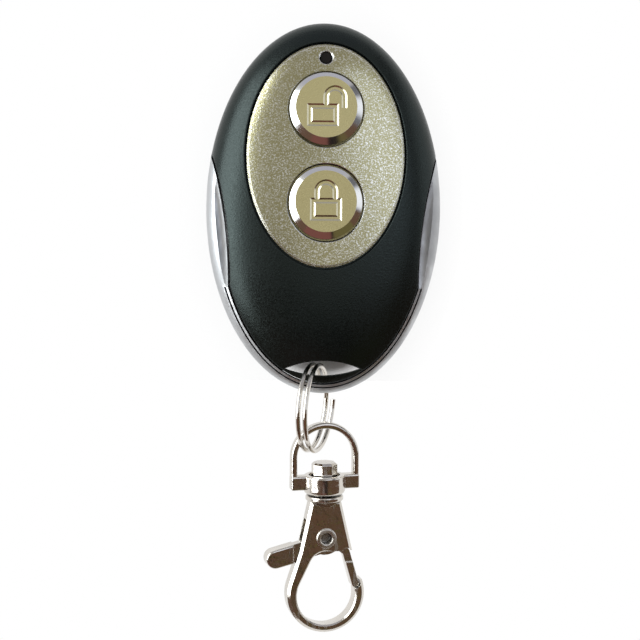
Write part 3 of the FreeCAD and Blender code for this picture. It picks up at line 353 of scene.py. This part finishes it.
def satin_face(name, tones, axis, cosines, grain, relief, roughness, line_mm, engraved=None):
    """Satin metal where it faces along an axis, a polished edge where it turns, and walls painted
    black as shade.

    The tones are the face, its bright grains and the polished edge, whose colour also paints a
    highlight along every edge. The cosines say where the face starts and is full, the relief is the
    grain's strength and depth in millimetres, and line_mm is the width of the painted highlight
    line along an edge, which is also polished. Gaps are painted black as shade, like the walls.
    Inside the engraved sphere, a centre and a radius, edges get only a share of the polish and
    highlight.
    """
    face_tone, grain_tone, polished_and_highlight = tones
    made, shader = new_material(name, face_tone)
    tree = made.node_tree
    shader.inputs["Metallic"].default_value = 1.0
    texture = use_group(tree, "fine_grain", grain)
    marks_and_light = use_group(tree, "handling_marks_and_light", {"Patch Size": 14.0, "Edge Width": line_mm})
    turned = maths(tree, "SUBTRACT", 1.0, axis_mask(tree, axis, cosines))
    # The polished turn of the face, plus a painted highlight along every edge
    rim_and_edge_highlight = maths(tree, "MAXIMUM", turned, marks_and_light["Edges"])
    # Walls and recesses painted near black: painted shade in the gaps
    painted_shade = maths(tree, "MAXIMUM", axis_mask(tree, axis, WALL_COSINES), marks_and_light["Recess"])
    polish_and_highlight = rim_and_edge_highlight
    if engraved:
        centre, radius = engraved
        place = add_node(tree, "ShaderNodeTexCoord").outputs["Object"]
        away = add_node(tree, "ShaderNodeVectorMath", {"operation": "DISTANCE"},
                        {1: centre}, {0: place})
        outside = mapped(tree, away.outputs["Value"], (radius, radius * ENGRAVED_FADE),
                         (ENGRAVED_POLISH, 1.0))
        polish_and_highlight = maths(tree, "MULTIPLY", rim_and_edge_highlight, outside)

    tone = mixed(tree, texture["Speckle"], face_tone, grain_tone)
    patches = maths(tree, "MULTIPLY", marks_and_light["Patches"], SATIN_CLOUD)
    cloud = mixed(tree, patches, tone, toned(face_tone, 0.92))
    edges_and_highlight = mixed(tree, polish_and_highlight, cloud, polished_and_highlight)
    tree.links.new(mixed(tree, painted_shade, edges_and_highlight, WALL_SHADE_BLACK), shader.inputs["Base Color"])
    hollow_rough, crest_rough = roughness + 0.06, roughness - 0.05
    rough = mapped(tree, texture["Shade"], UNIT, (hollow_rough, crest_rough))
    smoother = maths(tree, "MULTIPLY", polish_and_highlight, POLISHED_ROUGHNESS - roughness)
    tree.links.new(maths(tree, "ADD", rough, smoother, clamp=True), shader.inputs["Roughness"])
    height = maths(tree, "MULTIPLY", texture["Height"], maths(tree, "SUBTRACT", 1.0, rim_and_edge_highlight))
    normal = bump(tree, height, rounded(tree, line_mm), *relief)
    tree.links.new(normal, shader.inputs["Normal"])
    return made


def dress(node, made):
    """Puts a material on every face of a CAD node's object."""
    target = NODES[node]
    target.data.materials.clear()
    target.data.materials.append(made)


# Settings

class CaseLook(bpy.types.PropertyGroup):
    """Black shells and silver band."""
    black: bpy.props.FloatVectorProperty(
        name="Case black", description="Colour of the moulded case", subtype="COLOR",
        default=(0.0014, 0.0023, 0.0021), min=0.0, max=1.0)
    grain: bpy.props.FloatProperty(
        name="Grain size", description="Size of the moulded texture, in millimetres",
        default=0.36, min=0.05, max=2.0)
    silver: bpy.props.FloatVectorProperty(
        name="Band silver", description="Colour of the side band", subtype="COLOR",
        default=(0.56, 0.57, 0.58), min=0.0, max=1.0)
    band_roughness: bpy.props.FloatProperty(
        name="Band roughness", description="How satin the band is", subtype="FACTOR",
        default=0.38, min=0.0, max=1.0)


class PlateLook(bpy.types.PropertyGroup):
    """Faceplate, buttons and lamp window."""
    champagne: bpy.props.FloatVectorProperty(
        name="Plate champagne", description="Colour of the faceplate", subtype="COLOR",
        default=(0.41, 0.38, 0.21), min=0.0, max=1.0)
    sparkle: bpy.props.FloatVectorProperty(
        name="Plate sparkle", description="Colour of the faceplate's bright grains",
        subtype="COLOR", default=(0.91, 0.91, 0.87), min=0.0, max=1.0)
    cap: bpy.props.FloatVectorProperty(
        name="Button face", description="Colour of the satin button faces", subtype="COLOR",
        default=(0.60, 0.53, 0.27), min=0.0, max=1.0)
    # The bright edge colour also paints the highlight along every plate and button edge
    bright: bpy.props.FloatVectorProperty(
        name="Bright edge", description="Colour of the polished button and plate edges",
        subtype="COLOR", default=(0.88, 0.88, 0.88), min=0.0, max=1.0)
    window: bpy.props.FloatVectorProperty(
        name="Lamp window", description="Colour of the dark lamp window", subtype="COLOR",
        default=(0.006, 0.004, 0.004), min=0.0, max=1.0)


class MetalLook(bpy.types.PropertyGroup):
    """Split ring and clasp."""
    nickel: bpy.props.FloatVectorProperty(
        name="Nickel", description="Colour of the bright nickel plating", subtype="COLOR",
        default=(0.74, 0.70, 0.64), min=0.0, max=1.0)
    ring_roughness: bpy.props.FloatProperty(
        name="Ring roughness", description="Polish of the split ring", subtype="FACTOR",
        default=0.1, min=0.0, max=1.0)
    clasp_roughness: bpy.props.FloatProperty(
        name="Clasp roughness", description="Polish of the clasp", subtype="FACTOR",
        default=0.13, min=0.0, max=1.0)


class StageLook(bpy.types.PropertyGroup):
    """Camera, lamp and room light."""
    camera_place: bpy.props.FloatVectorProperty(
        name="Camera place", description="Where the camera hangs over the remote",
        subtype="TRANSLATION", unit="LENGTH", default=(-0.0393, -0.0157, 0.7068))
    camera_aim: bpy.props.FloatVectorProperty(
        name="Camera aim", description="Point in the middle of the picture",
        subtype="TRANSLATION", unit="LENGTH", default=(-0.0004, -0.0188, 0.0068))
    camera_roll: bpy.props.FloatProperty(
        name="Camera roll", description="Turn of the camera about its own line of sight",
        subtype="ANGLE", unit="ROTATION", default=math.radians(0.49), min=-1.0, max=1.0)
    picture_width: bpy.props.FloatProperty(
        name="Picture width", description="Width that the picture shows at its middle",
        subtype="DISTANCE", unit="LENGTH", default=0.1077, min=0.05, max=1.0)
    key_power: bpy.props.FloatProperty(
        name="Left softbox", description="Power of the large lamp on the left", subtype="POWER",
        default=3.8, min=0.0)
    room: bpy.props.FloatProperty(
        name="Room light", description="Strength of the room around the object",
        subtype="FACTOR", default=1.0, min=0.0, max=2.0)


# Engraved part of each button: a sphere about the middle of its cap
ENGRAVED_RADIUS = 4.9 * MM

# Softbox on the left, in metres
SOFTBOX_PLACE = (-0.485, 0.075, 0.315)
SOFTBOX_AIM = (0.0, -0.02, 0.0)
SOFTBOX_SIZE = (0.7, 0.41)
SOFTBOX_COLOR = (0.93, 0.98, 1.0)

# Floor, in metres: its size, how far it lies under the part and how far past the case it ends
FLOOR_SIZE = 6.0
FLOOR_DROP = 0.0001
FLOOR_OVERHANG = 0.0002

# Floor's white round its shade: two oval steps, each with where it starts and is full, as shares
# of the case's half width and half length, and with how much white it adds
NEAR_STEP, NEAR_WHITE = (0.88, 0.96), 0.92
FAR_STEP, FAR_WHITE = (1.0, 1.25), 0.08

# Room round the object: the ceiling's colour, then soft patches that lie over it in this order,
# each with its direction, the cosines where it starts and is full, and its colour
ROOM_CEILING = (0.49, 0.48, 0.46)
ROOM_PATCHES = (
    # Bright, high on the right
    ((0.46, 0.20, 0.865), (0.915, 0.965), (1.10, 1.16, 1.30)),
    # Dark band on the right, then the light wall inside it
    ((1.0, 0.0, 0.0), (0.61, 0.69), (0.15, 0.15, 0.16)),
    ((1.0, 0.0, 0.0), (0.79, 0.85), (0.95, 0.98, 1.02)),
    # Far wall and left wall
    ((0.0, 1.0, 0.0), (0.66, 0.85), (0.43, 0.43, 0.48)),
    ((-1.0, 0.0, 0.1), (0.55, 0.85), (0.70, 0.73, 0.75)),
    # Bright, high on the left
    ((-0.66, -0.02, 0.75), (0.95, 0.985), (1.65, 1.75, 1.78)),
    # Brown near wall and the dark spot over it
    ((0.0, -1.0, 0.0), (0.10, 0.22), (0.122, 0.070, 0.044)),
    ((0.0, -0.34, 0.94), (0.95, 0.985), (0.045, 0.03, 0.024)),
    # Light, straight above
    ((0.06, -0.09, 1.0), (0.986, 0.998), (0.70, 0.69, 0.66)),
    # Black, olive and reddish spots high on the near wall
    ((0.12, -0.70, 0.71), (0.915, 0.93), (0.020, 0.016, 0.014)),
    ((0.45, -0.60, 0.66), (0.965, 0.975), (0.13, 0.11, 0.04)),
    ((-0.12, -0.68, 0.73), (0.950, 0.962), (0.18, 0.07, 0.055)),
    # White table below the horizon
    ((0.0, 0.0, -1.0), (0.0, 0.05), (0.92, 0.92, 0.92)),
)


# Operators

class RemoteOperator(bpy.types.Operator):
    """Base of the remote's operators: they can be undone and need a scene."""
    bl_options = {"REGISTER", "UNDO"}

    @classmethod
    def poll(cls, context):
        return context.scene is not None


class REMOTE_OT_case(RemoteOperator):
    """Dress the black front and rear shells"""
    bl_idname = "remote.case"
    bl_label = "Case"

    def execute(self, context):
        look = context.scene.remote_case
        black = textured_plastic("case_black", look.black, look.grain, roughness=0.3)
        dress("front_shell", black)
        dress("rear_shell", black)
        return {"FINISHED"}


class REMOTE_OT_band(RemoteOperator):
    """Dress the silver band"""
    bl_idname = "remote.band"
    bl_label = "Silver band"

    def execute(self, context):
        look = context.scene.remote_case
        dress("trim_band", plated_metal("band_silver", look.silver, look.band_roughness,
                                        scratch=0.05, patch_mm=7.0, round_mm=0.12))
        return {"FINISHED"}


class REMOTE_OT_faceplate(RemoteOperator):
    """Dress the faceplate"""
    bl_idname = "remote.faceplate"
    bl_label = "Faceplate"

    def execute(self, context):
        look = context.scene.remote_plate
        dress("faceplate", satin_face(
            "plate_champagne", (look.champagne, look.sparkle, look.bright),
            axis=(0.0, 0.0, 1.0), cosines=(0.80, 0.86),
            grain={"Grain Size": 0.27, "Second Size": 0.14, "Second Share": 0.8,
                   "Speckle Level": 0.5},
            relief=(0.45, 0.06), roughness=0.17, line_mm=0.26))
        return {"FINISHED"}


class REMOTE_OT_buttons(RemoteOperator):
    """Dress both button caps"""
    bl_idname = "remote.buttons"
    bl_label = "Buttons"

    def execute(self, context):
        look = context.scene.remote_plate
        tones = (look.cap, toned(look.cap, 1.2), look.bright)
        for joint in frame["joints"]:
            side, _, motion = joint["name"].partition("_")
            if motion != "press":
                continue
            name = "button_" + side
            dress(name, satin_face(
                name + "_champagne", tones,
                axis=tuple(-c for c in joint["axis"]), cosines=(0.985, 0.995),
                grain={"Grain Size": 0.2, "Second Size": 0.1, "Second Share": 0.5,
                       "Speckle Level": 0.55},
                relief=(0.15, 0.06), roughness=0.3, line_mm=0.05,
                engraved=(joint["pos_m"], ENGRAVED_RADIUS)))
        return {"FINISHED"}


class REMOTE_OT_lamp(RemoteOperator):
    """Dress the lamp window and the lamp under it"""
    bl_idname = "remote.lamp"
    bl_label = "Lamp"

    def execute(self, context):
        look = context.scene.remote_plate
        dress("light_pipe", lamp_window("lamp_window", look.window))
        dress("status_led", plain_moulding("lamp_body", (0.6, 0.06, 0.04), 0.25))
        return {"FINISHED"}


class REMOTE_OT_board(RemoteOperator):
    """Dress the circuit board and what stands on it"""
    bl_idname = "remote.board"
    bl_label = "Circuit board"

    def execute(self, context):
        green = plain_moulding("board_green", (0.02, 0.16, 0.07), 0.35, grain_mm=0.6)
        dress("circuit_board", green)
        switch = plain_moulding("switch_black", (0.02, 0.02, 0.022), 0.45)
        plunger = plain_moulding("plunger_white", (0.7, 0.68, 0.62), 0.4)
        for side in ("unlock", "lock"):
            dress("switch_body_" + side, switch)
            dress("switch_plunger_" + side, plunger)
        chip = plain_moulding("chip_black", (0.018, 0.018, 0.02), 0.5)
        dress("encoder_chip", chip)
        dress("rf_transistor", chip)
        dress("saw_resonator", plated_metal("can_nickel", (0.62, 0.6, 0.55), 0.28))
        dress("chip_capacitors", plain_moulding("capacitor_tan", (0.4, 0.26, 0.14), 0.4))
        dress("chip_resistors", plain_moulding("resistor_black", (0.03, 0.03, 0.035), 0.35))
        dress("antenna_trace", plated_metal("trace_copper", (0.72, 0.38, 0.2), 0.35))
        return {"FINISHED"}


class REMOTE_OT_cell(RemoteOperator):
    """Dress the cell, its contacts and its foam pad"""
    bl_idname = "remote.cell"
    bl_label = "Cell"

    def execute(self, context):
        dress("battery", plated_metal("cell_jacket", (0.5, 0.5, 0.47), 0.32))
        contact = plated_metal("contact_nickel", (0.68, 0.66, 0.6), 0.25)
        dress("contact_positive", contact)
        dress("contact_negative", contact)
        foam = plain_moulding("foam_grey", (0.06, 0.06, 0.065), 0.85, grain_mm=0.4)
        dress("battery_pad", foam)
        return {"FINISHED"}


class REMOTE_OT_screws(RemoteOperator):
    """Dress the case screws"""
    bl_idname = "remote.screws"
    bl_label = "Screws"

    def execute(self, context):
        dress("case_screws", plated_metal("screw_steel", (0.45, 0.45, 0.44), 0.3))
        return {"FINISHED"}


class REMOTE_OT_split_ring(RemoteOperator):
    """Dress the split ring"""
    bl_idname = "remote.split_ring"
    bl_label = "Split ring"

    def execute(self, context):
        look = context.scene.remote_metal
        dress("split_ring", plated_metal("ring_nickel", look.nickel, look.ring_roughness,
                                         scratch=0.15, patch_mm=3.0))
        return {"FINISHED"}


class REMOTE_OT_clasp(RemoteOperator):
    """Dress the swivel, the hook, its gate and rivet"""
    bl_idname = "remote.clasp"
    bl_label = "Clasp"

    def execute(self, context):
        look = context.scene.remote_metal
        nickel = plated_metal("clasp_nickel", look.nickel, look.clasp_roughness,
                              scratch=0.15, patch_mm=4.0, round_mm=0.1)
        for node in ("swivel_bow", "swivel_pin", "hook_body", "gate_lever"):
            dress(node, nickel)
        # The rivet's long shade reach paints its bore dark: painted shade
        dress("gate_rivet", plated_metal("rivet_nickel", look.nickel, 0.25, scratch=0.15,
                                         patch_mm=3.0, round_mm=0.3, shade_reach_mm=2.0))
        dress("gate_spring", plated_metal("spring_steel", (0.5, 0.5, 0.5), 0.25))
        return {"FINISHED"}


class REMOTE_OT_stage(RemoteOperator):
    """Make the floor, the lamp, the room light and the camera"""
    bl_idname = "remote.stage"
    bl_label = "Stage"

    def floor(self):
        """White floor that keeps the object's shadow and lies in full shade under the case.

        It ends at the case's keyring end, as a table's edge, so that light reaches the clasp when
        it hangs past it. Outside the shade the camera looks through the floor at the room's white,
        so that the floor doesn't hide the clasp from behind.
        """
        low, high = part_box("rear_shell")
        bpy.ops.mesh.primitive_plane_add(size=FLOOR_SIZE, location=(0, 0, -FLOOR_DROP))
        ground = bpy.context.object
        ground.name = "floor"
        for corner in ground.data.vertices:
            corner.co.y = max(corner.co.y, low.y - FLOOR_OVERHANG)
        made, shader = new_material("floor_white", (0.9, 0.9, 0.9))
        shader.inputs["Roughness"].default_value = 0.9
        tree = made.node_tree
        output = next(n for n in tree.nodes if n.bl_idname == "ShaderNodeOutputMaterial")

        path = add_node(tree, "ShaderNodeLightPath").outputs
        seen = maths(tree, "MAXIMUM", path["Is Camera Ray"], path["Is Glossy Ray"])
        seen = maths(tree, "MAXIMUM", seen, path["Is Transmission Ray"])
        place = add_node(tree, "ShaderNodeTexCoord").outputs["Object"]
        shrink = add_node(tree, "ShaderNodeMapping", None,
                          {"Scale": (1 / high.x, 1 / high.y, 0.0)}, {"Vector": place})
        reach = add_node(tree, "ShaderNodeVectorMath", {"operation": "LENGTH"}, None,
                         {0: shrink.outputs[0]}).outputs["Value"]
        near = mapped(tree, reach, NEAR_STEP, (0.0, NEAR_WHITE))
        far = mapped(tree, reach, FAR_STEP, (0.0, FAR_WHITE))
        share = maths(tree, "MULTIPLY", seen, maths(tree, "ADD", near, far))

        below = add_node(tree, "ShaderNodeNewGeometry").outputs["Backfacing"]
        above = maths(tree, "SUBTRACT", 1.0, below)
        looked_at = maths(tree, "MULTIPLY", path["Is Camera Ray"], above)
        glow = add_node(tree, "ShaderNodeEmission", None, {"Color": WHITE, "Strength": 1.0})
        clear = add_node(tree, "ShaderNodeBsdfTransparent")
        white = blended(tree, looked_at, glow.outputs[0], clear.outputs[0])
        ground_look = blended(tree, share, shader.outputs["BSDF"], white)
        tree.links.new(ground_look, output.inputs["Surface"])
        ground.data.materials.append(made)

    def room(self, look):
        """Room with a plain ceiling and soft patches; the camera sees white past the floor."""
        world = bpy.data.worlds.new("room")
        bpy.context.scene.world = world
        world.use_nodes = True
        tree = world.node_tree
        tree.nodes.clear()
        output = tree.nodes.new("ShaderNodeOutputWorld")
        way = add_node(tree, "ShaderNodeTexCoord").outputs["Generated"]
        tone = ROOM_CEILING
        for toward, cosines, color in ROOM_PATCHES:
            match = along(tree, Vector(toward).normalized(), way)
            tone = mixed(tree, mapped(tree, match, cosines, smooth=True), tone, color)
        light = add_node(tree, "ShaderNodeBackground", None,
                         {"Strength": look.room}, {"Color": tone})
        white = add_node(tree, "ShaderNodeBackground", None, {"Color": WHITE, "Strength": 1.0})
        seen = add_node(tree, "ShaderNodeLightPath").outputs["Is Camera Ray"]
        tree.links.new(blended(tree, seen, light.outputs[0], white.outputs[0]),
                       output.inputs["Surface"])

    def softbox(self, look):
        """Large soft lamp on the left, turned to the object."""
        data = bpy.data.lights.new("left_softbox", "AREA")
        data.shape = "RECTANGLE"
        data.size, data.size_y = SOFTBOX_SIZE
        data.energy = look.key_power
        data.color = SOFTBOX_COLOR
        lamp = bpy.data.objects.new("left_softbox", data)
        bpy.context.scene.collection.objects.link(lamp)
        lamp.location = SOFTBOX_PLACE
        sight = Vector(SOFTBOX_AIM) - Vector(SOFTBOX_PLACE)
        lamp.rotation_euler = sight.to_track_quat("-Z", "Y").to_euler()

    def camera(self, look):
        """Camera over the remote, a little to its left."""
        place = Vector(look.camera_place)
        sight = Vector(look.camera_aim) - place
        data = bpy.data.cameras.new("camera")
        data.sensor_width = 36.0
        data.lens = data.sensor_width * sight.length / look.picture_width
        data.clip_start = 0.01
        data.clip_end = 20.0
        made = bpy.data.objects.new("camera", data)
        bpy.context.scene.collection.objects.link(made)
        upright = Vector((-math.sin(look.camera_roll), math.cos(look.camera_roll), 0.0))
        right = sight.cross(upright).normalized()
        above = right.cross(sight).normalized()
        turn = Matrix((right, above, -sight.normalized())).transposed()
        made.matrix_world = Matrix.Translation(place) @ turn.to_4x4()
        bpy.context.scene.camera = made

    def execute(self, context):
        look = context.scene.remote_stage
        self.floor()
        self.room(look)
        self.softbox(look)
        self.camera(look)
        context.scene.view_settings.view_transform = "Standard"
        return {"FINISHED"}


class REMOTE_PT_panel(bpy.types.Panel):
    """Settings and steps of the remote, in the 3D view's sidebar"""
    bl_idname = "REMOTE_PT_panel"
    bl_label = "Key-ring remote"
    bl_space_type = "VIEW_3D"
    bl_region_type = "UI"
    bl_category = "Remote"

    def draw(self, context):
        layout = self.layout
        for label, key in (("Case", "remote_case"), ("Plate and buttons", "remote_plate"),
                           ("Ring and clasp", "remote_metal"), ("Stage", "remote_stage")):
            box = layout.box()
            box.label(text=label)
            group = getattr(context.scene, key)
            for name in group.__annotations__:
                box.prop(group, name)
        for step in STEPS:
            layout.operator(step.bl_idname)


SETTINGS = {
    "remote_case": CaseLook,
    "remote_plate": PlateLook,
    "remote_metal": MetalLook,
    "remote_stage": StageLook,
}
STEPS = (
    REMOTE_OT_case, REMOTE_OT_band, REMOTE_OT_faceplate, REMOTE_OT_buttons, REMOTE_OT_lamp,
    REMOTE_OT_board, REMOTE_OT_cell, REMOTE_OT_screws, REMOTE_OT_split_ring, REMOTE_OT_clasp,
    REMOTE_OT_stage,
)


def register():
    """Registers the settings, the operators and the panel."""
    for key, group in SETTINGS.items():
        bpy.utils.register_class(group)
        setattr(bpy.types.Scene, key, bpy.props.PointerProperty(type=group))
    for step in STEPS:
        bpy.utils.register_class(step)
    bpy.utils.register_class(REMOTE_PT_panel)


def unregister():
    """Takes back what register() did."""
    bpy.utils.unregister_class(REMOTE_PT_panel)
    for step in reversed(STEPS):
        bpy.utils.unregister_class(step)
    for key, group in reversed(SETTINGS.items()):
        delattr(bpy.types.Scene, key)
        bpy.utils.unregister_class(group)


def main():
    """Registers the add-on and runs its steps."""
    register()
    build_groups()
    bpy.ops.remote.case()
    bpy.ops.remote.band()
    bpy.ops.remote.faceplate()
    bpy.ops.remote.buttons()
    bpy.ops.remote.lamp()
    bpy.ops.remote.board()
    bpy.ops.remote.cell()
    bpy.ops.remote.screws()
    bpy.ops.remote.split_ring()
    bpy.ops.remote.clasp()
    bpy.ops.remote.stage()


if __name__ == "__main__":
    main()
